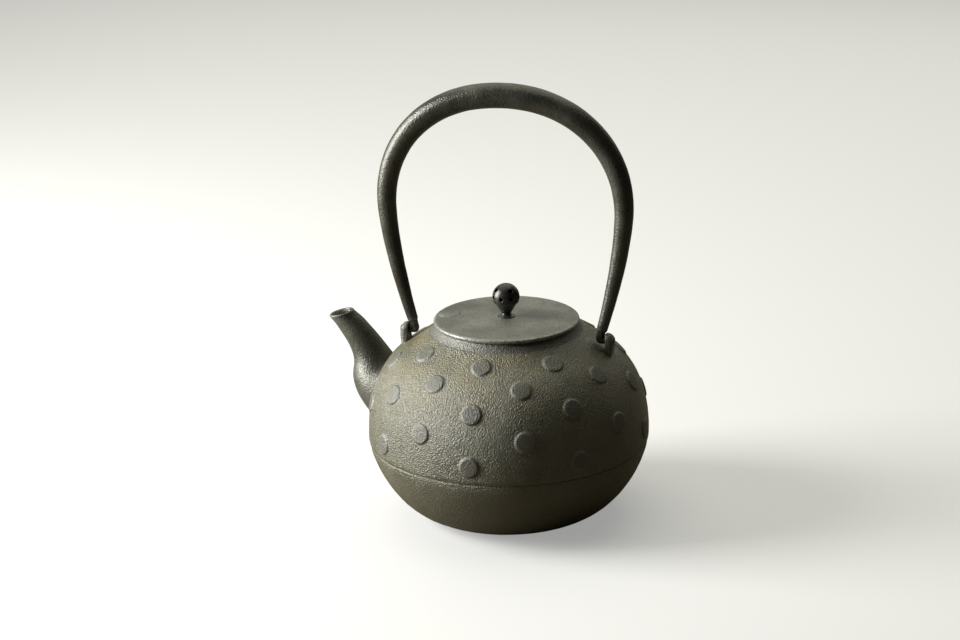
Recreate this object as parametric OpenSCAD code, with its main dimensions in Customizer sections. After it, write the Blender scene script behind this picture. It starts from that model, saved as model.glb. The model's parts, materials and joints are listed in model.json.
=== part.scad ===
// Round cast iron water kettle with an arched handle that folds down, a curved spout,
// a loose lid and a pattern of raised dots. The origin is the centre of the base,
// +Z is up, the spout points along -X and the handle stands in the XZ plane.

/* [Pot] */
// Largest diameter of the pot
pot_d = 160; // [150:1:170]
// Height of the widest ring above the base
belly_z = 46; // [44:0.5:50]
// Diameter of the flat base
base_d = 78; // [70:1:84]
// Wall thickness of the casting
wall = 3.5; // [3:0.1:4]
// Height of the casting seam above the base
seam_z = 43.5; // [41:0.5:44]
// How far the upper half stands out over the seam
seam_step = 0.35; // [0.2:0.05:0.5]
// Height of the collar's rim, where the lid rests
rim_z = 111.4; // [110:0.2:114]
// Bore of the collar
mouth_d = 72; // [66:1:73]

/* [Dots] */
// Diameter of a raised dot
dot_d = 11.9; // [10:0.1:13]
// How far a dot stands proud
dot_rise = 0.7; // [0.4:0.1:1]
// Dots in each full ring
dots_round = 8; // [6, 8]
// Turn of the whole pattern about the axis, in degrees
dot_turn = -1.9; // [-4:0.1:4]

/* [Spout] */
// Diameter of the spout at its tip
tip_d = 14.4; // [13:0.2:16]
// Diameter of the spout at its root
root_d = 45; // [40:1:46]
// Wall of the spout
spout_wall = 2.2; // [1.6:0.1:2.4]
// Diameter of the way through the pot's wall into the spout
spout_way_d = 22; // [16:1:24]

/* [Ears] */
// Height of the handle's turning axis
pivot_z = 103.8; // [103.6:0.1:104.4]
// Distance from the axis of the pot to the inner face of an ear
ear_in_x = 57.3; // [56.8:0.1:57.6]
// Thickness of an ear at its thickest
ear_t = 4.6; // [3.6:0.1:5]
// Width of an ear at its foot
ear_w = 12.6; // [11:0.2:14]
// Radius of the rounded top of an ear about the pivot
ear_top_r = 4.2; // [4:0.1:5]

/* [Handle] */
// Half width of the arch, at the middle of the bar
arch_half_w = 68; // [66:0.5:70]
// Height of the bar's middle at the top of the arch
arch_top_z = 242; // [236:1:246]
// Height at which the arch is widest
arch_wide_z = 178; // [172:1:182]
// Thickness of the bar at the top of the arch
bar_top_d = 14.1; // [12:0.1:15]
// Thickness lost by the bar from the top of the arch to an ear
bar_taper = 8.1; // [7.6:0.1:8.4]
// Thickness of the sheet that the hollow bar is rolled from
bar_wall = 1.4; // [1:0.1:1.6]
// Diameter of the turned-out pins at the handle's ends
pin_d = 4.2; // [3.8:0.1:4.4]
// Running clearance round a pin
pin_gap = 0.08; // [0.02:0.01:0.1]

/* [Lid] */
// Diameter of the lid
lid_d = 82.4; // [80:0.2:84]
// Thickness of the lid at its edge
lid_t = 2.4; // [2:0.1:3]
// Rise of the lid's top from its edge to its middle
lid_crown = 0.8; // [0.4:0.1:1.2]
// Depth of the locating ring under the lid
ring_h = 6; // [4:0.5:7]
// Diameter of the knob's ball
ball_d = 15.4; // [14:0.2:17]
// Height of the ball's centre over the lid's edge
ball_up = 12.4; // [12:0.1:13]
// Diameter of the holes in the ball
vent_d = 2.8; // [2:0.1:3]

/* [Hidden] */
$fn = 96;
pot_r = pot_d / 2;
base_r = base_d / 2;
mouth_r = mouth_d / 2;
belly_steps = 20;
lid_top_z = rim_z + lid_t;

// The belly under the widest ring and the shoulder over it are squarish quarter ovals, each
// with a power for its radius and one for its height. The shoulder closes in to shoulder_r
// over shoulder_h, and is cut off at shoulder_end degrees, where it sweeps up to the collar.
belly_round = [0.98, 1.37];
shoulder_round = [1.06, 0.847];
shoulder_r = 40.4;
shoulder_h = 57;
shoulder_end = 63;
sweep_dip = 5.2;
sweep_steps = 8;
collar_foot = [43.2, 107];
collar_top_r = 40.4;
rim_edge = 0.5;
bore_foot_z = 104;
seam_run = 2.2;

iron = [0.33, 0.32, 0.26];
dark_iron = [0.2, 0.2, 0.19];
lid_iron = [0.38, 0.38, 0.33];

function mix(a, b, t) = a * (1 - t) + b * t;
function arc_2(a, b, c, t) = mix(mix(a, b, t), mix(b, c, t), t);
function arc_3(p, t) = mix(arc_2(p[0], p[1], p[2], t), arc_2(p[1], p[2], p[3], t), t);

// One point of the belly: a from -90 at the base, through 0 at the widest ring, upwards.
// The inset moves the whole line inwards for the inside of the wall.
function belly(a, inset = 0) =
    a < 0
    ? [base_r + (pot_r - inset - base_r) * pow(cos(a), belly_round[0]),
       belly_z - (belly_z - inset) * pow(-sin(a), belly_round[1])]
    : [shoulder_r + (pot_r - inset - shoulder_r) * pow(cos(a), shoulder_round[0]),
       belly_z + (shoulder_h - inset) * pow(sin(a), shoulder_round[1])];

function belly_line(inset, grow = 0) =
    [for (i = [0:belly_steps]) let (a = -90 + 90 * i / belly_steps) belly(a, inset) + [grow, 0],
     for (i = [1:belly_steps]) let (a = shoulder_end * i / belly_steps) belly(a, inset) + [grow, 0]];

function sweep_up(inset, foot, grow = 0) =
    let (start = belly(shoulder_end, inset), bend = [mix(start[0], foot[0], 0.5), foot[1] - sweep_dip])
    [for (i = [1:sweep_steps]) arc_2(start, bend, foot, i / sweep_steps) + [grow, 0]];

// Angle round the shoulder's oval at a given height above the widest ring
function angle_at(z) = asin(pow((z - belly_z) / shoulder_h, 1 / shoulder_round[1]));

// Heights of the rows of dots, the top row's own place and lean, and the place in a row
// that faces the spout
dot_rows = [53.5, 67.6, 81.4, 92.6];
top_dot_at = [51.2, 101.2];
top_dot_lean = 31;
spout_dot = dots_round / 2;
dot_sunk = 2;

// The spout's centre line in the XZ plane, and its radius along it. Its mouth is cut off
// across lip_dir, and opens out a little at the lip.
spout_line = [[-62, 65], [-90, 82.5], [-67.4, 77], [-97.4, 111.6]];
spout_way_z = 70;
root_flare = 1.45;
lip_dir = [-0.235, 0.972];
lip_open = 0.8;
spout_rings = 22;
spout_sides = 32;
function spout_r(t, thin = 0) = tip_d / 2 + (root_d - tip_d) / 2 * pow(1 - t, root_flare) - thin;
function spout_dir(t) =
    let (d = arc_3(spout_line, min(1, t + 0.01)) - arc_3(spout_line, t - 0.01)) d / norm(d);

// The handle's centre line: s runs from -1 at the spout's ear to 1 at the other ear.
// Between -arch_share and arch_share it is the arch, and past that the legs.
leg_end_z = 110;
leg_bend = 0.0231;
arch_round = 0.94;
arch_share = 0.6;
bar_swell = 1.7;
bar_rings = 44;
bar_sides = 20;
function leg_x(z) = arch_half_w - leg_bend * pow(arch_wide_z - z, 1.5);
function bar_at(s) =
    abs(s) <= arch_share
    ? let (a = 90 * (1 - abs(s) / arch_share))
      [sign(s) * arch_half_w * pow(max(cos(a), 0), arch_round),
       arch_wide_z + (arch_top_z - arch_wide_z) * pow(max(sin(a), 0), arch_round)]
    : let (z = mix(arch_wide_z, leg_end_z, (abs(s) - arch_share) / (1 - arch_share)))
      [sign(s) * leg_x(z), z];
function bar_dir(s) = let (d = bar_at(min(1, s + 0.01)) - bar_at(max(-1, s - 0.01))) d / norm(d);
function bar_r(s) = (bar_top_d - bar_taper * pow(abs(s), bar_swell)) / 2;
end_corner = bar_at(1) + bar_dir(1) * (pivot_z - leg_end_z) / bar_dir(1)[1];
end_corner_r = 2.2;
end_waist_r = 2.35;
end_waist_at = 0.3;
pin_out = 0.4;

// A tube swept along rings: each ring is [centre in XZ, direction in XZ, outer radius, inner radius].
module swept_tube(rings, sides) {
    n = len(rings);
    points = [for (layer = [2, 3]) for (g = rings) for (k = [0:sides - 1])
        let (a = 360 * k / sides, across = [-g[1][1], g[1][0]], c = g[0], r = g[layer])
        [c[0] + across[0] * r * cos(a), -r * sin(a), c[1] + across[1] * r * cos(a)]];
    inner = n * sides;
    function at(ring, k) = ring * sides + k % sides;
    faces = concat(
        [for (i = [0:n - 2]) for (k = [0:sides - 1])
            [at(i, k), at(i, k + 1), at(i + 1, k + 1), at(i + 1, k)]],
        [for (i = [0:n - 2]) for (k = [0:sides - 1])
            [inner + at(i + 1, k), inner + at(i + 1, k + 1), inner + at(i, k + 1), inner + at(i, k)]],
        [for (k = [0:sides - 1]) [at(0, k + 1), at(0, k), inner + at(0, k), inner + at(0, k + 1)]],
        [for (k = [0:sides - 1])
            [at(n - 1, k), at(n - 1, k + 1), inner + at(n - 1, k + 1), inner + at(n - 1, k)]]);
    polyhedron(points, faces, convexity = 6);
}

// The outer form of the pot as one solid, grown a little for cutting other pieces to fit it
module pot_form(grow = 0) {
    rotate_extrude($fn = 180)
        polygon(concat([[0, 0]], belly_line(0, grow), sweep_up(0, collar_foot, grow),
                       [[collar_top_r + grow, rim_z - rim_edge],
                        [collar_top_r - rim_edge + grow, rim_z], [0, rim_z]]));
}

module pot_hollow() {
    floor_in = wall + 0.5;
    rotate_extrude($fn = 180)
        polygon(concat([[0, floor_in], [base_r, floor_in]],
                       [for (p = belly_line(wall)) if (p[1] > floor_in + 0.5) p],
                       sweep_up(wall, [mouth_r, bore_foot_z]),
                       [[mouth_r, rim_z + 1], [0, rim_z + 1]]));
}

// One dot, a low disc sunk into the wall
module dot_disc() {
    translate([0, 0, -dot_sunk])
        cylinder(h = dot_sunk + dot_rise, r = dot_d / 2, $fn = 48);
}

module dot(z, turn) {
    a = angle_at(z);
    p = belly(a);
    q = belly(a + 0.5);
    lean = 180 - atan2(q[1] - p[1], q[0] - p[0]);
    rotate([0, 0, turn + dot_turn])
        translate([p[0], 0, p[1]])
            rotate([0, lean, 0])
                dot_disc();
}

// The top row lies on the sweep up to the collar
module top_dot(turn) {
    rotate([0, 0, turn + dot_turn])
        translate([top_dot_at[0], 0, top_dot_at[1]])
            rotate([0, top_dot_lean, 0])
                dot_disc();
}

// Rows of dots up the belly, every other row turned by half a space. The rows in line with
// the spout leave out the one dot that its root or its ear stands on.
module dots() {
    for (row = [0:len(dot_rows) - 1])
        for (i = [0:dots_round - 1])
            if (row % 2 == 1 || i != spout_dot)
                dot(dot_rows[row], (i + (row % 2) / 2) * 360 / dots_round);
    for (i = [0:dots_round - 1])
        if (i != spout_dot)
            top_dot(i * 360 / dots_round);
}

module seam_groove() {
    rotate_extrude($fn = 180)
        polygon([[pot_r - seam_step, seam_z], [pot_r + 1, seam_z], [pot_r + 1, seam_z - seam_run]]);
}

module pot() {
    color(iron)
        difference() {
            union() {
                pot_form();
                dots();
            }
            pot_hollow();
            seam_groove();
            translate([-pot_r - 4, 0, spout_way_z])
                rotate([0, 90, 0])
                    cylinder(h = 20, r = spout_way_d / 2, $fn = 64);
        }
}

module spout() {
    rings = [for (i = [0:spout_rings])
        let (t = i / spout_rings, lip = i == spout_rings)
        [arc_3(spout_line, t), lip ? lip_dir : spout_dir(t),
         spout_r(t), spout_r(t, spout_wall) + (lip ? lip_open : 0)]];
    color(dark_iron)
        difference() {
            swept_tube(rings, spout_sides);
            pot_form(0.05);
        }
}

// An ear is a plate across the pivot axis, round at the top and wider at its foot, with a
// bulging outer face. Here x runs down the ear and z runs outwards.
module ear() {
    foot_x = 12;
    half_w = ear_w / 2;
    bulge_r = 9;
    translate([ear_in_x, 0, pivot_z])
        rotate([0, 90, 0])
            difference() {
                intersection() {
                    union() {
                        cylinder(h = ear_t, r = ear_top_r);
                        linear_extrude(ear_t)
                            polygon([[foot_x, half_w], [0, ear_top_r * 0.97],
                                     [0, -ear_top_r * 0.97], [foot_x, -half_w]]);
                    }
                    translate([1, 0, ear_t - bulge_r])
                        rotate([90, 0, 0])
                            cylinder(h = ear_w + 2, r = bulge_r, center = true);
                }
                translate([0, 0, -1])
                    cylinder(h = ear_t + 2, r = pin_d / 2 + pin_gap);
            }
}

module ear_on_pot() {
    color(dark_iron)
        difference() {
            ear();
            pot_form(0.05);
        }
}

module ear_rear() {
    ear_on_pot();
}

module ear_spout_side() {
    mirror([1, 0, 0])
        ear_on_pot();
}

module handle_bar() {
    rings = [for (i = [0:bar_rings]) let (s = -1 + 2 * i / bar_rings)
        [bar_at(s), bar_dir(s), bar_r(s), bar_r(s) - bar_wall]];
    color(dark_iron)
        swept_tube(rings, bar_sides);
}

// The solid end of the bar goes on down in line with it, and turns out through the ear as
// a plain round pin
module handle_end() {
    top = bar_at(1);
    down = end_corner - top;
    waist = norm(down) * end_waist_at;
    color(dark_iron) {
        translate([top[0], 0, top[1]])
            rotate([0, atan2(down[0], down[1]), 0]) {
                cylinder(h = waist, r1 = bar_r(1), r2 = end_waist_r, $fn = 48);
                translate([0, 0, waist])
                    cylinder(h = norm(down) - waist, r1 = end_waist_r, r2 = end_corner_r, $fn = 48);
            }
        translate([end_corner[0], 0, end_corner[1]])
            sphere(r = end_corner_r, $fn = 48);
        translate([end_corner[0], 0, end_corner[1]])
            rotate([0, 90, 0])
                cylinder(h = ear_in_x + ear_t + pin_out - end_corner[0], r = pin_d / 2, $fn = 48);
    }
}

module handle_end_rear() {
    handle_end();
}

module handle_end_spout_side() {
    mirror([1, 0, 0])
        handle_end();
}

shank_r = 2;
shank_gap = 0.05;

// A flat plate with a slight crown, one raised dot, and a ring under it that keeps it in place
module lid() {
    r = lid_d / 2;
    edge = 0.5;
    ring_r = mouth_r - 0.6;
    ring_w = 2.4;
    dot_x = -33;
    color(lid_iron)
        difference() {
            union() {
                rotate_extrude($fn = 180)
                    polygon([[0, rim_z], [r - edge, rim_z], [r, rim_z + edge], [r, lid_top_z - edge],
                             [r - edge, lid_top_z], [r * 0.6, lid_top_z + lid_crown * 0.7],
                             [r * 0.25, lid_top_z + lid_crown], [0, lid_top_z + lid_crown]]);
                rotate_extrude($fn = 180)
                    translate([ring_r - ring_w, rim_z - ring_h])
                        square([ring_w, ring_h + edge]);
                translate([dot_x, 0, lid_top_z])
                    cylinder(h = dot_rise + 0.35, r = dot_d / 2, $fn = 64);
            }
            translate([0, 0, rim_z - 1])
                cylinder(h = 8, r = shank_r + shank_gap, $fn = 48);
        }
}

washer_z = lid_top_z + lid_crown;
washer_t = 0.8;
neck_z = washer_z + washer_t;
ball_z = lid_top_z + ball_up;
ball_r = ball_d / 2;
ball_wall = 1.5;
// The ball's two rings of holes: tilt from the top, turn of the first, how many, diameter
vent_rings = [[52, -51.6, 4, vent_d], [88, -9, 8, vent_d - 0.4]];

module knob_washer() {
    color(dark_iron)
        translate([0, 0, washer_z])
            difference() {
                cylinder(h = washer_t, r1 = 5.2, r2 = 4.2, $fn = 64);
                translate([0, 0, -1])
                    cylinder(h = 3, r = shank_r + shank_gap, $fn = 48);
            }
}

// A hollow ball on a neck, with two rings of round holes
module knob() {
    color(dark_iron)
        difference() {
            union() {
                translate([0, 0, ball_z])
                    sphere(r = ball_r, $fn = 64);
                translate([0, 0, neck_z])
                    rotate_extrude($fn = 64)
                        polygon(concat([[0, 0], [3.1, 0]],
                                       [for (i = [0:6]) arc_2([2.3, 0.7], [3.4, 2.6], [6.4, 7.5], i / 6)],
                                       [[0, 7.5]]));
            }
            translate([0, 0, ball_z])
                sphere(r = ball_r - ball_wall, $fn = 48);
            for (ring = vent_rings)
                for (i = [0:ring[2] - 1])
                    translate([0, 0, ball_z])
                        rotate([0, ring[0], ring[1] + i * 360 / ring[2]])
                            cylinder(h = ball_r + 2, r = ring[3] / 2, $fn = 32);
            translate([0, 0, neck_z - 1])
                cylinder(h = 4.5, r = shank_r, $fn = 48);
        }
}

// The rivet holds the knob: its shank goes up into the neck and its head is under the lid
module knob_rivet() {
    color(dark_iron) {
        translate([0, 0, rim_z])
            cylinder(h = neck_z + 3.4 - rim_z, r = shank_r, $fn = 48);
        translate([0, 0, rim_z - 1.4])
            cylinder(h = 1.4, r1 = 3, r2 = 4, $fn = 48);
    }
}

pot();
spout();
ear_spout_side();
ear_rear();
handle_bar();
handle_end_spout_side();
handle_end_rear();
lid();
knob();
knob_washer();
knob_rivet();
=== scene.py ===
"""The looks of a round cast iron kettle: its cast skin, forged handle, loose lid and knob.

Lengths are in metres. The kettle stands on z = 0, its spout points along -X and its handle
stands in the XZ plane.
"""
import json
import math
import random

import bmesh
import bpy
from mathutils import Matrix, Vector, noise


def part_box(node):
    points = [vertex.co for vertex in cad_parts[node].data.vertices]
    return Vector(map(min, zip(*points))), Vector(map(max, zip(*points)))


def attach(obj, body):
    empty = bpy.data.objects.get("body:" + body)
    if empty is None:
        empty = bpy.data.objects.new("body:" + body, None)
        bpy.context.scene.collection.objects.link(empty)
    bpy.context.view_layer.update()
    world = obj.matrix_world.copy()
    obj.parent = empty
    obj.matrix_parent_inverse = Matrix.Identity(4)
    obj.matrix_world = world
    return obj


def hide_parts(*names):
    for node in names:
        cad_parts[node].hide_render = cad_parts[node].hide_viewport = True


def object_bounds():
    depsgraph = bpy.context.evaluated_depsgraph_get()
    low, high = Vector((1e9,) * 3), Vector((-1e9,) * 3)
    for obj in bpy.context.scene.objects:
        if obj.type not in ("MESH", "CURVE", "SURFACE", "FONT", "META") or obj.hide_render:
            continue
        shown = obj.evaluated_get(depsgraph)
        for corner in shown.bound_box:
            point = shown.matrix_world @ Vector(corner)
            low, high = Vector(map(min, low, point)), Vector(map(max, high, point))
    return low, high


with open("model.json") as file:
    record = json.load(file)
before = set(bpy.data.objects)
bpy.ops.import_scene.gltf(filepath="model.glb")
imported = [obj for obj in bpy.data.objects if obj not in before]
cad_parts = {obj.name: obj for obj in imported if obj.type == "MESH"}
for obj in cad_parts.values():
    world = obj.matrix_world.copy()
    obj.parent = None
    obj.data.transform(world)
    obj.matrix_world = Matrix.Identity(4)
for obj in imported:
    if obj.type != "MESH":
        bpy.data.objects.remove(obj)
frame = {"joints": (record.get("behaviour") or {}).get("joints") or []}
cad_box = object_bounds()
MM = 0.001

# ---------------------------------------------------------------- sizes from the frame
lid_low, lid_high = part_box("lid")
knob_low, knob_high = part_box("knob")
washer_low, washer_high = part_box("knob_washer")
rivet_low, rivet_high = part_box("knob_rivet")
ear_low, ear_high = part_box("ear_rear")
end_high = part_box("handle_end_rear")[1]
pivot = Vector(frame["joints"][0]["pos_m"])

RIM_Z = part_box("pot")[1].z
LID_R = lid_high.x

# The pot's outline, as in the CAD: quarter ovals under and over the widest ring
POT_R = 80 * MM
BASE_R = 39 * MM
WALL = 3.5 * MM
BELLY_Z = 46 * MM
BELLY_ROUND = (0.98, 1.37)
SHOULDER_ROUND = (1.06, 0.847)
SHOULDER_R = 40.4 * MM
SHOULDER_H = 57 * MM
SHOULDER_END = 63
SEAM_Z = 43.5 * MM
SEAM_STEP = 0.45 * MM
SEAM_GROOVE = 0.4 * MM
COLLAR_FOOT = Vector((43.2 * MM, 107 * MM))
COLLAR_TOP_R = 40.4 * MM
MOUTH_R = 36 * MM
INNER_FOOT_Z = 104 * MM
FLOOR_TOP_Z = 4 * MM
SPOUT_WAY_R = 11 * MM
SPOUT_WAY_Z = 70 * MM
SWEEP_DIP = 5.2 * MM

DOT_RISE = 0.92 * MM
DOT_ROWS = (53.5 * MM, 67.6 * MM, 81.4 * MM, 92.6 * MM)
TOP_DOT_Z = 101.2 * MM
DOTS_ROUND = 8
DOT_TURN = math.radians(-1.9)
REAR_DOT_SHARE = 0.62

SPOUT_LINE = [Vector((x * MM, 0, z * MM)) for x, z in ((-62, 65), (-90, 82.5), (-67.4, 77), (-97.4, 111.6))]
SPOUT_TIP_R = 7.2 * MM
SPOUT_ROOT_R = 22.5 * MM
SPOUT_FLARE = 1.45
SPOUT_WALL = 2.2 * MM
LIP_DIR = Vector((-0.235, 0, 0.972)).normalized()


def mix(a, b, t):
    return a * (1 - t) + b * t


def smooth_step(low, high, x):
    t = min(1, max(0, (x - low) / (high - low)))
    return t * t * (3 - 2 * t)


def curve_2(a, b, c, t):
    return mix(mix(a, b, t), mix(b, c, t), t)


def curve_3(p, t):
    return mix(curve_2(p[0], p[1], p[2], t), curve_2(p[1], p[2], p[3], t), t)


# ---------------------------------------------------------------- the pot's outline
def belly_point(degrees, inset=0.0):
    a = math.radians(degrees)
    if degrees < 0:
        return Vector((BASE_R + (POT_R - inset - BASE_R) * math.cos(a) ** BELLY_ROUND[0],
                       BELLY_Z - (BELLY_Z - inset) * (-math.sin(a)) ** BELLY_ROUND[1]))
    return Vector((SHOULDER_R + (POT_R - inset - SHOULDER_R) * math.cos(a) ** SHOULDER_ROUND[0],
                   BELLY_Z + (SHOULDER_H - inset) * math.sin(a) ** SHOULDER_ROUND[1]))


def wall_line(inset, foot, steps):
    """Radius and height up one face of the wall, from the base to the foot of the collar."""
    line = [belly_point(-90 + 90 * i / steps, inset) for i in range(steps + 1)]
    line += [belly_point(SHOULDER_END * i / steps, inset) for i in range(1, steps + 1)]
    start = line[-1]
    bend = Vector((mix(start.x, foot.x, 0.5), foot.y - SWEEP_DIP))
    sweep_steps = max(6, steps // 4)
    return line + [curve_2(start, bend, foot, i / sweep_steps) for i in range(1, sweep_steps + 1)]


OUTER_LINE = wall_line(0, COLLAR_FOOT, 60)


def radius_at(z):
    """Radius of the pot's outer face at a height, up to the foot of the collar."""
    for low, high in zip(OUTER_LINE, OUTER_LINE[1:]):
        if low.y <= z <= high.y and high.y > low.y:
            return mix(low.x, high.x, (z - low.y) / (high.y - low.y))
    return OUTER_LINE[0].x if z < OUTER_LINE[0].y else OUTER_LINE[-1].x


def slope_at(z):
    """Outward normal of the outer face at a height, as (radial, vertical)."""
    step = 0.3 * MM
    rise = (radius_at(z + step) - radius_at(z - step)) / (2 * step)
    return Vector((1, -rise)).normalized()


def unevenness(p):
    """The small, slow waves that a hand-made sand mould leaves in a casting."""
    return (0.16 * noise.noise(p / (17 * MM)) + 0.07 * noise.noise(p / (6 * MM))
            + 0.035 * noise.noise(p / (2.6 * MM))) * MM


# ---------------------------------------------------------------- making pieces
def spun(outline, steps):
    """A closed or open outline of (radius, height) spun a full turn about the Z axis."""
    bm = bmesh.new()
    verts = [bm.verts.new((p[0], 0, p[1])) for p in outline]
    edges = [bm.edges.new(pair) for pair in zip(verts, verts[1:])]
    bmesh.ops.spin(bm, geom=verts + edges, cent=(0, 0, 0), axis=(0, 0, 1), dvec=(0, 0, 0),
                   angle=math.tau, steps=steps, use_merge=True, use_duplicate=False)
    bmesh.ops.remove_doubles(bm, verts=bm.verts, dist=0.002 * MM)
    bmesh.ops.dissolve_degenerate(bm, edges=bm.edges, dist=0.001 * MM)
    bmesh.ops.recalc_face_normals(bm, faces=bm.faces)
    return bm


def ring_matrix(centre, direction, radius, flat=1.0):
    """Places a unit circle across a line that runs in the XZ plane."""
    direction = direction.normalized()
    across = Vector((0, 1, 0)).cross(direction)
    turn = Matrix((across, (0, 1, 0), direction)).transposed().to_4x4()
    size = Matrix.Diagonal((radius, radius * flat, radius, 1))
    return Matrix.Translation(centre) @ turn @ size


def swept(stations, sides, close=True):
    """A skin extruded ring by ring through stations of (centre, direction, radius, flatness)."""
    bm = bmesh.new()
    place = ring_matrix(*stations[0])
    bmesh.ops.create_circle(bm, segments=sides, radius=1, matrix=place)
    ring = list(bm.edges)
    for station in stations[1:]:
        grown = bmesh.ops.extrude_edge_only(bm, edges=ring)["geom"]
        ring = [g for g in grown if isinstance(g, bmesh.types.BMEdge)]
        verts = [g for g in grown if isinstance(g, bmesh.types.BMVert)]
        new_place = ring_matrix(*station)
        bmesh.ops.transform(bm, matrix=new_place @ place.inverted(), verts=verts)
        place = new_place
    if close:
        bmesh.ops.holes_fill(bm, edges=[e for e in bm.edges if e.is_boundary], sides=0)
    bmesh.ops.recalc_face_normals(bm, faces=bm.faces)
    return bm


def mark_edges(bm, full_angle=0.5):
    """Writes how sharply each point sticks out, from 0 to 1, for the wear on edges."""
    layer = bm.verts.layers.float.new("edge")
    for v in bm.verts:
        turns = [e.calc_face_angle_signed(0) for e in v.link_edges if len(e.link_faces) == 2]
        v[layer] = min(1, max(0, max(turns, default=0) / full_angle))


def finish_piece(name, bm, body, material, nodes=(), sharp=35):
    """Turns a bmesh into a named piece that rides on a body and stands for CAD nodes."""
    if "edge" not in bm.verts.layers.float:
        mark_edges(bm)
    mesh = bpy.data.meshes.new(name)
    bm.to_mesh(mesh)
    bm.free()
    mesh.shade_smooth()
    mesh.set_sharp_from_angle(angle=math.radians(sharp))
    mesh.materials.append(material)
    piece = bpy.data.objects.new(name, mesh)
    bpy.context.scene.collection.objects.link(piece)
    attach(piece, body)
    if nodes:
        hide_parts(*nodes)


def cut_away(bm, cutters):
    """Takes the cutters' shapes out of a bmesh with one exact Boolean, and returns the rest."""
    target_mesh = bpy.data.meshes.new("cut_target")
    bm.to_mesh(target_mesh)
    bm.free()
    target = bpy.data.objects.new("cut_target", target_mesh)
    tool_mesh = bpy.data.meshes.new("cut_tool")
    cutters.to_mesh(tool_mesh)
    cutters.free()
    tool = bpy.data.objects.new("cut_tool", tool_mesh)
    for helper in (target, tool):
        bpy.context.scene.collection.objects.link(helper)
    cut = target.modifiers.new("cut", "BOOLEAN")
    cut.operation = "DIFFERENCE"
    cut.solver = "EXACT"
    cut.use_self = True
    cut.object = tool
    ready = target.evaluated_get(bpy.context.evaluated_depsgraph_get())
    result = bmesh.new()
    result.from_mesh(ready.to_mesh())
    ready.to_mesh_clear()
    for helper, mesh in ((target, target_mesh), (tool, tool_mesh)):
        bpy.data.objects.remove(helper)
        bpy.data.meshes.remove(mesh)
    return result


def add_rod(bm, radius, length, matrix, segments=32):
    """A plain rod from the matrix's origin along its Z axis, used as a cutter."""
    bmesh.ops.create_cone(bm, cap_ends=True, segments=segments, radius1=radius, radius2=radius,
                          depth=length, matrix=matrix @ Matrix.Translation((0, 0, length / 2)))


# ---------------------------------------------------------------- shader helpers
def new_material(name):
    material = bpy.data.materials.new(name)
    material.use_nodes = True
    tree = material.node_tree
    return material, tree, tree.nodes["Principled BSDF"]


def add_node(tree, kind, **settings):
    node = tree.nodes.new(kind)
    for key, value in settings.items():
        if key in node.inputs.keys():
            node.inputs[key].default_value = value
        else:
            setattr(node, key, value)
    return node


def join(tree, source, target):
    tree.links.new(source, target)


def ramp(tree, source, low, high, low_value=0.0, high_value=1.0, kind="SMOOTHSTEP"):
    node = tree.nodes.new("ShaderNodeMapRange")
    node.interpolation_type = kind
    for socket, value in zip(node.inputs[1:5], (low, high, low_value, high_value)):
        socket.default_value = value
    join(tree, source, node.inputs[0])
    return node.outputs[0]


def math_node(tree, operation, a, b):
    node = tree.nodes.new("ShaderNodeMath")
    node.operation = operation
    for socket, value in zip(node.inputs, (a, b)):
        if isinstance(value, (int, float)):
            socket.default_value = value
        else:
            join(tree, value, socket)
    return node.outputs[0]


def mix_colour(tree, factor, a, b):
    node = tree.nodes.new("ShaderNodeMix")
    node.data_type = "RGBA"
    for socket, value in ((node.inputs[0], factor), (node.inputs[6], a), (node.inputs[7], b)):
        if isinstance(value, tuple):
            socket.default_value = (*value, 1)
        elif isinstance(value, (int, float)):
            socket.default_value = value
        else:
            join(tree, value, socket)
    return node.outputs[2]


def new_group(name, inputs, outputs):
    """An empty shader node group with float inputs and outputs, and its two end nodes."""
    group = bpy.data.node_groups.new(name, "ShaderNodeTree")
    for label, value in inputs:
        socket = group.interface.new_socket(label, in_out="INPUT", socket_type="NodeSocketFloat")
        socket.default_value = value
    for label in outputs:
        group.interface.new_socket(label, in_out="OUTPUT", socket_type="NodeSocketFloat")
    return group, group.nodes.new("NodeGroupInput"), group.nodes.new("NodeGroupOutput")


def place_group(tree, group, **values):
    node = tree.nodes.new("ShaderNodeGroup")
    node.node_tree = group
    for label, value in values.items():
        node.inputs[label].default_value = value
    return node


def noise_at(tree, coords, scale, detail, rough):
    node = add_node(tree, "ShaderNodeTexNoise", Scale=scale, Detail=detail, Roughness=rough)
    join(tree, coords, node.inputs["Vector"])
    return node.outputs["Fac"]


# ---------------------------------------------------------------- shared effects
def sand_skin_group():
    """The pebbly skin of iron cast in sand: its height, its pits and its slow mottling."""
    group, inputs, outputs = new_group("sand_skin", [("Grain", 850.0)], ["Height", "Pits", "Mottle"])
    coords = group.nodes.new("ShaderNodeTexCoord").outputs["Object"]
    pebbles = add_node(group, "ShaderNodeTexNoise", Detail=1.0, Roughness=0.5)
    join(group, coords, pebbles.inputs["Vector"])
    join(group, inputs.outputs["Grain"], pebbles.inputs["Scale"])
    grit = add_node(group, "ShaderNodeTexNoise", Detail=2.0, Roughness=0.6)
    join(group, coords, grit.inputs["Vector"])
    join(group, math_node(group, "MULTIPLY", inputs.outputs["Grain"], 2.3), grit.inputs["Scale"])
    pebble_height = ramp(group, pebbles.outputs["Fac"], 0.25, 0.75, kind="LINEAR")
    height = math_node(group, "ADD", pebble_height,
                       math_node(group, "MULTIPLY", grit.outputs["Fac"], 0.30))
    join(group, height, outputs.inputs["Height"])
    join(group, ramp(group, pebbles.outputs["Fac"], 0.52, 0.33), outputs.inputs["Pits"])
    join(group, ramp(group, noise_at(group, coords, 42, 4, 0.6), 0.32, 0.68), outputs.inputs["Mottle"])
    return group


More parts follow.
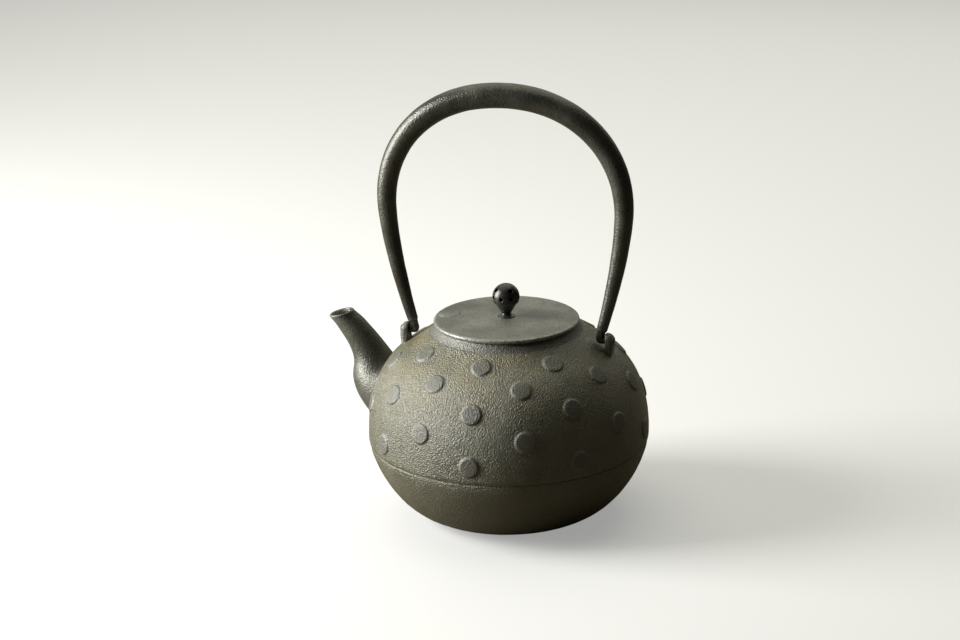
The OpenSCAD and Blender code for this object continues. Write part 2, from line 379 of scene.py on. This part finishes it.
def edge_wear_group():
    """Where edges are rubbed bright: the piece's own edge attribute, broken up by noise."""
    group, inputs, outputs = new_group("edge_wear", [("Breakup", 400.0), ("Amount", 1.0)], ["Mask"])
    edge = add_node(group, "ShaderNodeAttribute", attribute_name="edge")
    coords = group.nodes.new("ShaderNodeTexCoord").outputs["Object"]
    flecks = add_node(group, "ShaderNodeTexNoise", Detail=3.0, Roughness=0.6)
    join(group, coords, flecks.inputs["Vector"])
    join(group, inputs.outputs["Breakup"], flecks.inputs["Scale"])
    broken = math_node(group, "MULTIPLY", edge.outputs["Fac"], ramp(group, flecks.outputs["Fac"], 0.3, 0.6))
    amount = math_node(group, "MULTIPLY", broken, inputs.outputs["Amount"])
    join(group, ramp(group, amount, 0.1, 0.75), outputs.inputs["Mask"])
    return group


SAND_SKIN = sand_skin_group()
EDGE_WEAR = edge_wear_group()


def add_bump(tree, shader, height, strength, distance):
    bump = add_node(tree, "ShaderNodeBump", Strength=strength, Distance=distance)
    join(tree, height, bump.inputs["Height"])
    join(tree, bump.outputs["Normal"], shader.inputs["Normal"])


# ---------------------------------------------------------------- materials
def pot_material():
    material, tree, shader = new_material("pot_iron")
    coords = tree.nodes.new("ShaderNodeTexCoord").outputs["Object"]
    split = tree.nodes.new("ShaderNodeSeparateXYZ")
    join(tree, coords, split.inputs[0])
    z = split.outputs["Z"]
    skin = place_group(tree, SAND_SKIN, Grain=1300.0)
    wear = place_group(tree, EDGE_WEAR, Breakup=500.0, Amount=0.8)
    smooth = add_node(tree, "ShaderNodeAttribute", attribute_name="smooth")
    olive = mix_colour(tree, skin.outputs["Mottle"], (0.084, 0.083, 0.045), (0.124, 0.123, 0.076))
    ochre_patch = ramp(tree, noise_at(tree, coords, 60, 5, 0.65), 0.45, 0.7)
    ochre_zone = math_node(tree, "MULTIPLY", ochre_patch, ramp(tree, z, 0.07, 0.104))
    colour = mix_colour(tree, math_node(tree, "MULTIPLY", ochre_zone, 0.6), olive, (0.185, 0.142, 0.050))
    fleck_zone = math_node(tree, "MULTIPLY", ramp(tree, noise_at(tree, coords, 620, 2, 0.6), 0.55, 0.68),
                           ramp(tree, z, 0.06, 0.10))
    colour = mix_colour(tree, math_node(tree, "MULTIPLY", fleck_zone, 0.7), colour, (0.26, 0.19, 0.07))
    brown = ramp(tree, z, SEAM_Z, SEAM_Z - 6 * MM)
    colour = mix_colour(tree, math_node(tree, "MULTIPLY", brown, 0.35), colour, (0.105, 0.090, 0.060))
    colour = mix_colour(tree, math_node(tree, "MULTIPLY", skin.outputs["Pits"], 0.45), colour,
                        (0.050, 0.047, 0.032))
    colour = mix_colour(tree, smooth.outputs["Fac"], colour, (0.078, 0.078, 0.055))
    colour = mix_colour(tree, math_node(tree, "MULTIPLY", wear.outputs["Mask"], 0.35), colour,
                        (0.26, 0.25, 0.21))
    join(tree, colour, shader.inputs["Base Color"])
    rough = math_node(tree, "ADD", 0.36, math_node(tree, "MULTIPLY", skin.outputs["Mottle"], 0.12))
    join(tree, math_node(tree, "ADD", rough, math_node(tree, "MULTIPLY", smooth.outputs["Fac"], 0.09)),
         shader.inputs["Roughness"])
    shader.inputs["Metallic"].default_value = 0.12
    shader.inputs["Specular IOR Level"].default_value = 1.0
    height = math_node(tree, "MULTIPLY", skin.outputs["Height"],
                       ramp(tree, smooth.outputs["Fac"], 0, 1, 1.0, 0.7, "LINEAR"))
    add_bump(tree, shader, height, 1.0, 0.42 * MM)
    return material


def plain_iron(name, dark, light, metallic, rough, grain, bump_depth, wear_colour, wear_amount=0.5,
               flecks=0.0):
    """Iron with a finer skin than the pot's: two tones, bright worn edges and a fine bump."""
    material, tree, shader = new_material(name)
    skin = place_group(tree, SAND_SKIN, Grain=grain)
    wear = place_group(tree, EDGE_WEAR, Breakup=600.0, Amount=1.0)
    colour = mix_colour(tree, skin.outputs["Mottle"], dark, light)
    colour = mix_colour(tree, math_node(tree, "MULTIPLY", skin.outputs["Pits"], flecks), colour,
                        tuple(0.4 * c for c in dark))
    colour = mix_colour(tree, math_node(tree, "MULTIPLY", wear.outputs["Mask"], wear_amount), colour,
                        wear_colour)
    join(tree, colour, shader.inputs["Base Color"])
    join(tree, ramp(tree, skin.outputs["Mottle"], 0, 1, rough - 0.06, rough + 0.08, "LINEAR"),
         shader.inputs["Roughness"])
    shader.inputs["Metallic"].default_value = metallic
    add_bump(tree, shader, skin.outputs["Height"], 0.8, bump_depth)
    return material


POT_IRON = pot_material()
SPOUT_IRON = plain_iron("spout_iron", (0.076, 0.076, 0.060), (0.136, 0.135, 0.110), 0.4, 0.38, 1100.0,
                        0.20 * MM, (0.18, 0.17, 0.145), 0.25, 0.4)
EAR_IRON = plain_iron("ear_iron", (0.085, 0.085, 0.063), (0.135, 0.134, 0.102), 0.2, 0.46, 1100.0,
                      0.18 * MM, (0.20, 0.19, 0.16), 0.6, 0.4)
HANDLE_IRON = plain_iron("handle_iron", (0.044, 0.044, 0.034), (0.088, 0.088, 0.071), 0.45, 0.33, 1000.0,
                         0.16 * MM, (0.15, 0.15, 0.135), 0.5, 0.5)
LID_IRON = plain_iron("lid_iron", (0.100, 0.102, 0.082), (0.206, 0.208, 0.174), 0.3, 0.40, 1100.0,
                      0.13 * MM, (0.30, 0.30, 0.27), 0.7, 0.55)
KNOB_IRON = plain_iron("knob_iron", (0.034, 0.034, 0.029), (0.056, 0.055, 0.048), 0.6, 0.27, 1500.0,
                       0.02 * MM, (0.14, 0.14, 0.12), 0.5, 0.3)


# ---------------------------------------------------------------- pot
def pot_outline():
    """Up the outside, over the rim and down the inside, as (radius, height)."""
    outside = [Vector((0, 0)), Vector((BASE_R * 0.5, 0)), Vector((BASE_R - 0.8 * MM, 0))]
    for p in OUTER_LINE[1:]:
        below = SEAM_Z - p.y
        if below > 0:
            p = p - Vector((SEAM_STEP * (1 - smooth_step(0, 5 * MM, below)), 0))
        outside.append(p)
    edge_r = radius_at(SEAM_Z)
    groove = ((SEAM_STEP, -1.1 * MM), (SEAM_STEP + 0.5 * SEAM_GROOVE, -0.75 * MM),
              (SEAM_STEP + SEAM_GROOVE, -0.4 * MM), (0.5 * SEAM_STEP, -0.05 * MM), (0.02 * MM, 0.2 * MM))
    outside = [p for p in outside if abs(p.y - SEAM_Z) > 1.15 * MM]
    seam = next(i for i, p in enumerate(outside) if p.y > SEAM_Z)
    outside[seam:seam] = [Vector((edge_r - deep, SEAM_Z + rise)) for deep, rise in groove]
    collar = [Vector((COLLAR_FOOT.x - 0.25 * MM, COLLAR_FOOT.y + 0.2 * MM)),
              Vector((COLLAR_TOP_R + 0.15 * MM, RIM_Z - 0.75 * MM)),
              Vector((COLLAR_TOP_R - 0.05 * MM, RIM_Z - 0.3 * MM)),
              Vector((COLLAR_TOP_R - 0.5 * MM, RIM_Z)), Vector((MOUTH_R + 0.5 * MM, RIM_Z)),
              Vector((MOUTH_R, RIM_Z - 0.5 * MM)), Vector((MOUTH_R, RIM_Z - 4 * MM))]
    inside = [p for p in wall_line(WALL, Vector((MOUTH_R, INNER_FOOT_Z)), 28)
              if p.y > FLOOR_TOP_Z + MM]
    return outside + collar + inside[::-1] + [Vector((BASE_R, FLOOR_TOP_Z)), Vector((0, FLOOR_TOP_Z))]


def roughen(bm):
    """Gives a casting its slow waves, fading out at the base, the collar and the rim."""
    bm.normal_update()
    moves = []
    for v in bm.verts:
        share = smooth_step(0, 5 * MM, v.co.z) * (1 - 0.85 * smooth_step(105 * MM, 107.5 * MM, v.co.z))
        moves.append(v.normal * unevenness(v.co) * share)
    for v, move in zip(bm.verts, moves):
        v.co += move


def make_pot():
    bm = spun(pot_outline(), 288)
    way = bmesh.new()
    add_rod(way, SPOUT_WAY_R, 20 * MM, Matrix.Translation((-POT_R - 4 * MM, 0, SPOUT_WAY_Z))
            @ Matrix.Rotation(math.pi / 2, 4, "Y"), 48)
    bm = cut_away(bm, way)
    roughen(bm)
    layer = bm.verts.layers.float.new("smooth")
    for v in bm.verts:
        v[layer] = smooth_step(106.2 * MM, 107.2 * MM, v.co.z)
    mark_edges(bm, 0.9)
    finish_piece("pot_casting", bm, "kettle", POT_IRON, ["pot"], 50)


def dot_places():
    """Angle, height and share of the full rise of each raised dot.

    The dots in line with the spout are left out, and the one by the rear ear is flatter, so
    that the handle's end passes over it.
    """
    places = [(i * math.tau / DOTS_ROUND, TOP_DOT_Z, 1.0 if i else REAR_DOT_SHARE)
              for i in range(DOTS_ROUND) if i != DOTS_ROUND // 2]
    for row, z in enumerate(DOT_ROWS):
        for i in range(DOTS_ROUND):
            if row % 2 == 1 or i != DOTS_ROUND // 2:
                places.append(((i + (row % 2) / 2) * math.tau / DOTS_ROUND, z, 1.0))
    return [(angle + DOT_TURN, z, share) for angle, z, share in places]


def on_skin(p, height):
    """Moves a point near the pot onto its skin, then out by a height."""
    for _ in range(3):
        around = Vector((p.x, p.y, 0))
        gap = radius_at(p.z) - around.length
        lean = slope_at(p.z)
        out = around.normalized() * lean.x + Vector((0, 0, lean.y))
        p = p + out * gap * lean.x
    return p + out * (height + unevenness(p))


def make_dots():
    """Low discs cast on the skin: a flat top, a rounded edge and a soft fillet at the foot."""
    rise = DOT_RISE
    outline = [(0, rise * 1.03), (2.4 * MM, rise * 1.02), (4.3 * MM, rise), (4.75 * MM, rise * 0.98),
               (5.05 * MM, rise * 0.9), (5.35 * MM, rise * 0.72), (5.65 * MM, rise * 0.48),
               (5.95 * MM, rise * 0.22), (6.2 * MM, rise * 0.07), (6.45 * MM, rise * 0.0),
               (6.7 * MM, -0.12 * MM), (6.3 * MM, -0.9 * MM), (0, -1.0 * MM)]
    whole = bmesh.new()
    whole.verts.layers.float.new("smooth")
    random.seed(7)
    for angle, z, share in dot_places():
        one = spun(outline, 44)
        lean = slope_at(z)
        around = Vector((math.cos(angle), math.sin(angle), 0))
        centre = around * radius_at(z) + Vector((0, 0, z))
        side = Vector((-math.sin(angle), math.cos(angle), 0))
        up = Vector((-around.x * lean.y, -around.y * lean.y, lean.x))
        swell = 1 + random.uniform(-0.02, 0.02)
        oval = 1 + random.uniform(-0.025, 0.025)
        layer = one.verts.layers.float.new("smooth")
        for v in one.verts:
            reach = math.hypot(v.co.x, v.co.y)
            v[layer] = 1 - smooth_step(5.9 * MM, 6.5 * MM, reach)
            flat = centre + side * v.co.x * swell * oval + up * v.co.y * swell / oval
            v.co = on_skin(flat, v.co.z * (share if v.co.z > 0 else 1))
        bmesh.ops.recalc_face_normals(one, faces=one.faces)
        scrap = bpy.data.meshes.new("one_dot")
        one.to_mesh(scrap)
        one.free()
        whole.from_mesh(scrap)
        bpy.data.meshes.remove(scrap)
    mark_edges(whole, 0.22)
    finish_piece("raised_dots", whole, "kettle", POT_IRON, [], 60)


# ---------------------------------------------------------------- spout
def spout_station(t, thin=0.0):
    """Centre, direction and radius a share t of the way from the spout's root to its lip."""
    step = 0.01
    ahead = curve_3(SPOUT_LINE, min(1, t + step)) - curve_3(SPOUT_LINE, max(0, t - step))
    direction = mix(ahead.normalized(), LIP_DIR, smooth_step(0.88, 1, t))
    radius = SPOUT_TIP_R + (SPOUT_ROOT_R - SPOUT_TIP_R) * (1 - t) ** SPOUT_FLARE - thin
    return curve_3(SPOUT_LINE, t), direction, radius, 1.0


def make_spout():
    rings = 46
    outside = [spout_station(i / rings) for i in range(rings)]
    centre, direction, radius, _ = spout_station(1)
    lip = [(centre - direction * 0.9 * MM, direction, radius + 0.05 * MM, 1.0),
           (centre - direction * 0.3 * MM, direction, radius + 0.02 * MM, 1.0),
           (centre, direction, radius - 0.35 * MM, 1.0),
           (centre - direction * 0.02 * MM, direction, radius - 0.9 * MM, 1.0),
           (centre - direction * 0.5 * MM, direction, radius - 1.35 * MM, 1.0)]
    inside = [spout_station(1 - i / rings, SPOUT_WALL * smooth_step(-6, 3, i)) for i in range(1, rings + 1)]
    bm = swept(outside[:-1] + lip + inside[1:], 56, close=False)
    depth = 1.8 * MM
    for v in bm.verts:
        around = Vector((v.co.x, v.co.y, 0))
        if v.co.z < COLLAR_FOOT.y:
            shortfall = radius_at(v.co.z) - depth - around.length
            if shortfall > 0:
                v.co += around.normalized() * shortfall
    ends = [e for e in bm.edges if e.is_boundary]
    bmesh.ops.bridge_loops(bm, edges=ends)
    bmesh.ops.recalc_face_normals(bm, faces=bm.faces)
    bm.normal_update()
    moves = [v.normal * unevenness(v.co + Vector((0.3, 0, 0))) * 0.8 for v in bm.verts]
    for v, move in zip(bm.verts, moves):
        v.co += move
    mark_edges(bm, 0.6)
    finish_piece("spout_casting", bm, "kettle", SPOUT_IRON, ["spout"], 50)


# ---------------------------------------------------------------- ears
def ear_edge(share, inset, foot_z):
    """A point on the ear's outline, in its own (width, height) about the pin's middle."""
    top_r = ear_high.z - pivot.z - inset
    foot_w = 6.0 * MM - inset
    if share < 0.5:
        a = math.pi * share / 0.5
        return Vector((top_r * math.cos(a), top_r * math.sin(a)))
    if share < 0.625 or share > 0.875:
        drop = (share - 0.5) / 0.125 if share < 0.625 else (1 - share) / 0.125
        side = -1 if share < 0.75 else 1
        return Vector((side * mix(top_r, foot_w, drop ** 1.4), foot_z * drop))
    return Vector((mix(-foot_w, foot_w, (share - 0.625) / 0.25), foot_z))


def make_ear(name, node, side):
    """A domed lug with a round top, a foot sunk in the shoulder and a hole for the pin."""
    inner_x, thick = ear_low.x, ear_high.x - ear_low.x
    hole_r = 2.18 * MM
    foot_z = 94.6 * MM - pivot.z
    segments = 64
    rings = ((-1, 0.30), (0.55, 0.0), (0.15, 0.04), (0.0, 0.16), (0.0, 0.42), (0.12, 0.6), (0.45, 0.78),
             (0.95, 0.91), (1.45, 0.98), (-1.06, 0.98), (-1, 0.85), (-1, 0.30))
    bm = bmesh.new()
    bmesh.ops.create_circle(bm, segments=segments, radius=1)
    share_layer = bm.verts.layers.float.new("share")
    for v in bm.verts:
        v[share_layer] = math.atan2(v.co.y, v.co.x) % math.tau / math.tau
    ring, fresh = list(bm.edges), list(bm.verts)
    for count, (inset, out) in enumerate(rings):
        if count:
            grown = bmesh.ops.extrude_edge_only(bm, edges=ring)["geom"]
            ring = [g for g in grown if isinstance(g, bmesh.types.BMEdge)]
            fresh = [g for g in grown if isinstance(g, bmesh.types.BMVert)]
        for v in fresh:
            share = v[share_layer]
            if inset < 0:
                flat = Vector((math.cos(math.tau * share), math.sin(math.tau * share))) * hole_r * -inset
            else:
                flat = ear_edge(share, inset * MM, foot_z)
            low_spread = 1.2 * MM * smooth_step(-3 * MM, foot_z, flat.y)
            sag = 1.9 * MM * smooth_step(0.15, 1, abs(flat.y + 1.5 * MM) / (8 * MM)) * out
            x = inner_x + thick * out - sag + low_spread * (out - 0.35)
            v.co = Vector((side * x, flat.x, pivot.z + flat.y))
    bmesh.ops.remove_doubles(bm, verts=bm.verts, dist=0.01 * MM)
    bmesh.ops.recalc_face_normals(bm, faces=bm.faces)
    mark_edges(bm, 0.5)
    finish_piece(name, bm, "kettle", EAR_IRON, [node], 60)


# ---------------------------------------------------------------- handle
ARCH_HALF_W = 68 * MM
ARCH_TOP_Z = 242 * MM
ARCH_WIDE_Z = 178 * MM
ARCH_ROUND = 0.94
ARCH_SHARE = 0.6
LEG_END_Z = 110 * MM
LEG_BEND = 0.0231
BAR_TOP_R = 7.05 * MM
BAR_LOSS_R = 4.05 * MM
BAR_SWELL = 1.7


def bar_at(s):
    """A point on the middle of the bar: s from -1 at the spout's ear to 1 at the rear ear."""
    if abs(s) <= ARCH_SHARE:
        a = math.pi / 2 * (1 - abs(s) / ARCH_SHARE)
        x = ARCH_HALF_W * max(math.cos(a), 0) ** ARCH_ROUND
        z = ARCH_WIDE_Z + (ARCH_TOP_Z - ARCH_WIDE_Z) * max(math.sin(a), 0) ** ARCH_ROUND
    else:
        z = mix(ARCH_WIDE_Z, LEG_END_Z, (abs(s) - ARCH_SHARE) / (1 - ARCH_SHARE))
        x = ARCH_HALF_W - LEG_BEND * MM * ((ARCH_WIDE_Z - z) / MM) ** 1.5
    return Vector((math.copysign(x, s), 0, z))


def bar_direction(s):
    step = 0.008
    return (bar_at(min(1, s + step)) - bar_at(max(-1, s - step))).normalized()


def bar_radius(s):
    return BAR_TOP_R - BAR_LOSS_R * abs(s) ** BAR_SWELL


def hammered(bm, depth, size):
    """Flattens a bar's skin here and there, as a hammer does, and waves it a little."""
    bm.normal_update()
    moves = []
    for v in bm.verts:
        p = v.co / size
        moves.append(v.normal * depth * (0.6 * noise.noise(p) + 0.4 * noise.noise(p * 2.7)))
    for v, move in zip(bm.verts, moves):
        v.co += move


def make_bar():
    rings = 180
    stations = []
    for i in range(rings + 1):
        s = -1 + 2 * i / rings
        stations.append((bar_at(s), bar_direction(s), bar_radius(s), 1.0))
    bm = swept(stations, 40)
    hammered(bm, 0.16 * MM, 13 * MM)
    mark_edges(bm, 0.8)
    finish_piece("handle_bar_forged", bm, "handle", HANDLE_IRON, ["handle_bar"], 50)


def make_bar_end(name, node, side):
    """The bar's solid end: it runs on down, bends outwards and goes through the ear as a pin."""
    top = bar_at(1)
    down = bar_direction(1)
    corner = top + down * (pivot.z - LEG_END_Z) / down.z
    out = Vector((1, 0, 0))
    bend = 1.6 * MM
    pin_r = 2.1 * MM
    stations = []
    for share, radius in ((0, bar_radius(1)), (0.1, 2.9 * MM), (0.22, 2.55 * MM), (0.32, 2.38 * MM),
                          (0.5, 2.32 * MM), (0.75, 2.28 * MM), (1, 2.25 * MM)):
        stations.append((mix(top, corner - down * bend, share), down, radius, 1.0))
    for i in range(1, 8):
        t = i / 8
        centre = curve_2(corner - down * bend, corner, corner + out * bend, t)
        stations.append((centre, mix(down, out, t), mix(2.25 * MM, pin_r, t), 1.0))
    tip = end_high.x
    for x, r in ((corner.x + bend, pin_r), (tip - 1.0 * MM, pin_r), (tip - 0.5 * MM, pin_r * 0.96),
                 (tip - 0.15 * MM, pin_r * 0.8), (tip, pin_r * 0.45)):
        stations.append((Vector((x, 0, corner.z)), out, r, 1.0))
    bm = swept(stations, 36)
    if side < 0:
        bmesh.ops.scale(bm, vec=(-1, 1, 1), verts=bm.verts)
        bmesh.ops.recalc_face_normals(bm, faces=bm.faces)
    mark_edges(bm, 0.5)
    finish_piece(name, bm, "handle", HANDLE_IRON, [node], 50)


# ---------------------------------------------------------------- lid and knob
def make_lid():
    top = 113.8 * MM
    crown = 0.8 * MM
    ring_r = 35.4 * MM
    ring_in = 33.0 * MM
    ring_z = lid_low.z
    z0 = RIM_Z
    outline = [(2.05 * MM, top + crown), (10 * MM, top + crown), (25 * MM, top + 0.62 * crown),
               (36 * MM, top + 0.2 * crown), (39.8 * MM, top + 0.03 * MM), (40.5 * MM, top - 0.12 * MM),
               (40.95 * MM, top - 0.45 * MM), (LID_R, top - 1.0 * MM), (LID_R, z0 + 0.8 * MM),
               (41.0 * MM, z0 + 0.35 * MM), (40.6 * MM, z0 + 0.1 * MM), (40.0 * MM, z0),
               (ring_r + 0.4 * MM, z0), (ring_r, z0 - 0.4 * MM), (ring_r, ring_z + 0.5 * MM),
               (ring_r - 0.5 * MM, ring_z), (ring_in + 0.5 * MM, ring_z), (ring_in, ring_z + 0.5 * MM),
               (ring_in, z0 - 0.8 * MM), (ring_in - 0.8 * MM, z0), (12 * MM, z0), (2.05 * MM, z0)]
    outline.append(outline[0])
    bm = spun(outline, 192)
    dot_x = -33 * MM
    for v in bm.verts:
        if v.co.z > top - 0.1 * MM:
            v.co.z += 0.05 * MM * noise.noise(v.co / (14 * MM))
    mark_edges(bm, 0.5)
    finish_piece("lid_plate", bm, "lid", LID_IRON, ["lid"], 40)
    rise = 0.55 * MM
    dot = spun([(0, rise), (4.8 * MM, rise), (5.3 * MM, rise * 0.9), (5.65 * MM, rise * 0.6),
                (5.95 * MM, rise * 0.25), (6.4 * MM, 0), (6.5 * MM, -0.3 * MM), (0, -0.6 * MM)], 56)
    bmesh.ops.translate(dot, verts=dot.verts, vec=(dot_x, 0, top + 0.33 * crown))
    for v in dot.verts:
        v.co.z -= crown * 0.8 * ((math.hypot(v.co.x, v.co.y) - abs(dot_x)) / LID_R)
    mark_edges(dot, 0.5)
    finish_piece("lid_dot", dot, "lid", LID_IRON, [], 60)


def make_knob():
    """A solid ball that draws in to a neck, with two rings of blind round holes with sunk rims."""
    ball_r = knob_high.x
    ball_z = knob_high.z - ball_r
    foot = knob_low.z
    neck = [(3.1 * MM, foot), (3.15 * MM, foot + 0.25 * MM), (2.75 * MM, foot + 0.5 * MM)]
    start, bend, end = Vector((2.3, 0.8)), Vector((3.4, 2.6)), Vector((6.4, 7.5))
    for i in range(1, 9):
        p = curve_2(start, bend, end, i / 9)
        neck.append((p.x * MM, foot + p.y * MM))
    low = math.degrees(math.asin((foot + 7.9 * MM - ball_z) / ball_r))
    steps = 30
    ball = []
    for i in range(steps + 1):
        a = math.radians(mix(low, 90, i / steps))
        ball.append((max(0, ball_r * math.cos(a)), ball_z + ball_r * math.sin(a)))
    outer = spun([(0, foot)] + neck + ball, 96)
    hole_depth = 3.2 * MM
    cutters = bmesh.new()
    for tilt, turn, count, radius in ((52, -51.6, 4, 1.4 * MM), (88, -9, 8, 1.2 * MM)):
        for i in range(count):
            place = (Matrix.Translation((0, 0, ball_z))
                     @ Matrix.Rotation(math.radians(turn + i * 360 / count), 4, "Z")
                     @ Matrix.Rotation(math.radians(tilt), 4, "Y"))
            add_rod(cutters, radius, hole_depth + 2 * MM,
                    place @ Matrix.Translation((0, 0, ball_r - hole_depth)), 28)
            rim = place @ Matrix.Translation((0, 0, ball_r - 0.32 * MM))
            bmesh.ops.create_cone(cutters, cap_ends=True, segments=28, radius1=radius,
                                  radius2=radius + 0.9 * MM, depth=0.9 * MM,
                                  matrix=rim @ Matrix.Translation((0, 0, 0.45 * MM)))
    bm = cut_away(outer, cutters)
    mark_edges(bm, 0.7)
    finish_piece("knob_ball", bm, "lid", KNOB_IRON, ["knob"], 40)


def make_washer_and_rivet():
    low, high = washer_low.z, washer_high.z
    washer = spun([(2.06 * MM, high), (3.9 * MM, high), (4.5 * MM, high - 0.12 * MM),
                   (5.0 * MM, high - 0.4 * MM), (5.2 * MM, low + 0.15 * MM), (5.15 * MM, low),
                   (2.06 * MM, low), (2.06 * MM, high)], 72)
    finish_piece("knob_foot_washer", washer, "lid", KNOB_IRON, ["knob_washer"], 40)
    head = rivet_low.z
    rivet = spun([(0, rivet_high.z), (1.6 * MM, rivet_high.z), (2 * MM, rivet_high.z - 0.4 * MM),
                  (2 * MM, RIM_Z), (4 * MM, RIM_Z), (3.9 * MM, RIM_Z - 0.5 * MM),
                  (3.2 * MM, head + 0.35 * MM), (2.2 * MM, head + 0.08 * MM), (0, head)], 56)
    finish_piece("knob_rivet_peened", rivet, "lid", KNOB_IRON, ["knob_rivet"], 40)


# ---------------------------------------------------------------- floor, light and camera
FLOOR_PALE = (0.50, 0.50, 0.487)
FLOOR_GLOW = (1.0, 1.0, 0.975)
FLOOR_BOUNCE = (0.11, 0.095, 0.065)
# Painted reflection: a brighter, warmer floor colour that only glossy rays see, so the iron reflects a
# painted sheen standing in for a window reflected in a table top
FLOOR_PAINTED_SHEEN = (0.20, 0.175, 0.125)
FLOOR_LIFT = 0.33


def make_floor():
    bm = bmesh.new()
    bmesh.ops.create_circle(bm, cap_ends=True, segments=96, radius=9)
    mesh = bpy.data.meshes.new("floor")
    bm.to_mesh(mesh)
    bm.free()
    floor = bpy.data.objects.new("floor", mesh)
    bpy.context.scene.collection.objects.link(floor)
    material, tree, shader = new_material("pale_floor")
    shader.inputs["Roughness"].default_value = 0.9
    shader.inputs["Specular IOR Level"].default_value = 0.0
    path = tree.nodes.new("ShaderNodeLightPath")
    seen = path.outputs["Is Camera Ray"]
    # Diffuse rays see the dark brown bounce colour, and glossy rays see a brighter warm colour, a painted
    # reflection; camera rays see the evenly pale floor
    bounce_and_painted_sheen = mix_colour(tree, path.outputs["Is Glossy Ray"], FLOOR_BOUNCE, FLOOR_PAINTED_SHEEN)
    join(tree, mix_colour(tree, seen, bounce_and_painted_sheen, FLOOR_PALE), shader.inputs["Base Color"])
    join(tree, mix_colour(tree, seen, (0.0, 0.0, 0.0), FLOOR_GLOW), shader.inputs["Emission Color"])
    shader.inputs["Emission Strength"].default_value = FLOOR_LIFT
    mesh.materials.append(material)


def area_light(name, azimuth, elevation, distance, width, height, power, colour):
    """A soft panel that faces the kettle. Azimuth 0 is in front, and 90 is at the right."""
    a, e = math.radians(azimuth), math.radians(elevation)
    aim = Vector((0, 0, 0.10))
    back = Vector((math.sin(a) * math.cos(e), -math.cos(a) * math.cos(e), math.sin(e)))
    data = bpy.data.lights.new(name, "AREA")
    data.shape = "RECTANGLE"
    data.size = width
    data.size_y = height
    data.energy = power
    data.color = colour
    lamp = bpy.data.objects.new(name, data)
    lamp.location = aim + back * distance
    lamp.rotation_euler = back.to_track_quat("Z", "Y").to_euler()
    lamp.visible_camera = False
    bpy.context.scene.collection.objects.link(lamp)


def make_light():
    area_light("window", -76, 18, 1.1, 0.60, 0.80, 34, (1.0, 0.995, 0.985))
    area_light("wall_glow", 180, 25, 1.5, 2.2, 1.0, 4, (1.0, 1.0, 0.90))
    area_light("ceiling_glow", 200, 70, 1.5, 1.8, 1.8, 15, (1.0, 0.98, 0.84))
    world = bpy.data.worlds.new("room")
    world.use_nodes = True
    bpy.context.scene.world = world
    tree = world.node_tree
    sky = tree.nodes["Background"]
    sky.inputs["Color"].default_value = (0.95, 0.96, 0.94, 1)
    sky.inputs["Strength"].default_value = 0.025


CAMERA_AZIMUTH = math.radians(14.864)
CAMERA_ELEVATION = math.radians(18.289)
CAMERA_ROLL = math.radians(1.39)
CAMERA_DISTANCE = 5.9077  # in heights of the kettle
AIM_ALONG, AIM_UP = 0.48, 0.447  # shares of the CAD box
LENS_MM = 97.5
SENSOR_MM = 36


def make_camera():
    low, high = cad_box
    height = high[2] - low[2]
    aim = Vector((low[0] + AIM_ALONG * (high[0] - low[0]), 0, AIM_UP * height))
    back = Vector((math.sin(CAMERA_AZIMUTH) * math.cos(CAMERA_ELEVATION),
                   -math.cos(CAMERA_AZIMUTH) * math.cos(CAMERA_ELEVATION), math.sin(CAMERA_ELEVATION)))
    level = Vector((math.cos(CAMERA_AZIMUTH), math.sin(CAMERA_AZIMUTH), 0))
    upright = back.cross(level)
    right = math.cos(CAMERA_ROLL) * level - math.sin(CAMERA_ROLL) * upright
    up = math.sin(CAMERA_ROLL) * level + math.cos(CAMERA_ROLL) * upright
    data = bpy.data.cameras.new("camera")
    data.lens = LENS_MM
    data.sensor_width = SENSOR_MM
    data.clip_end = 50
    camera = bpy.data.objects.new("camera", data)
    turn = Matrix((right, up, back)).transposed().to_4x4()
    camera.matrix_world = Matrix.Translation(aim + back * CAMERA_DISTANCE * height) @ turn
    bpy.context.scene.collection.objects.link(camera)
    bpy.context.scene.camera = camera


bpy.context.scene.view_settings.view_transform = "Standard"
make_camera()
make_light()
make_floor()
make_pot()
make_dots()
make_spout()
make_ear("ear_lug_spout_side", "ear_spout_side", -1)
make_ear("ear_lug_rear", "ear_rear", 1)
make_bar()
make_bar_end("bar_end_spout_side", "handle_end_spout_side", -1)
make_bar_end("bar_end_rear", "handle_end_rear", 1)
make_lid()
make_knob()
make_washer_and_rivet()
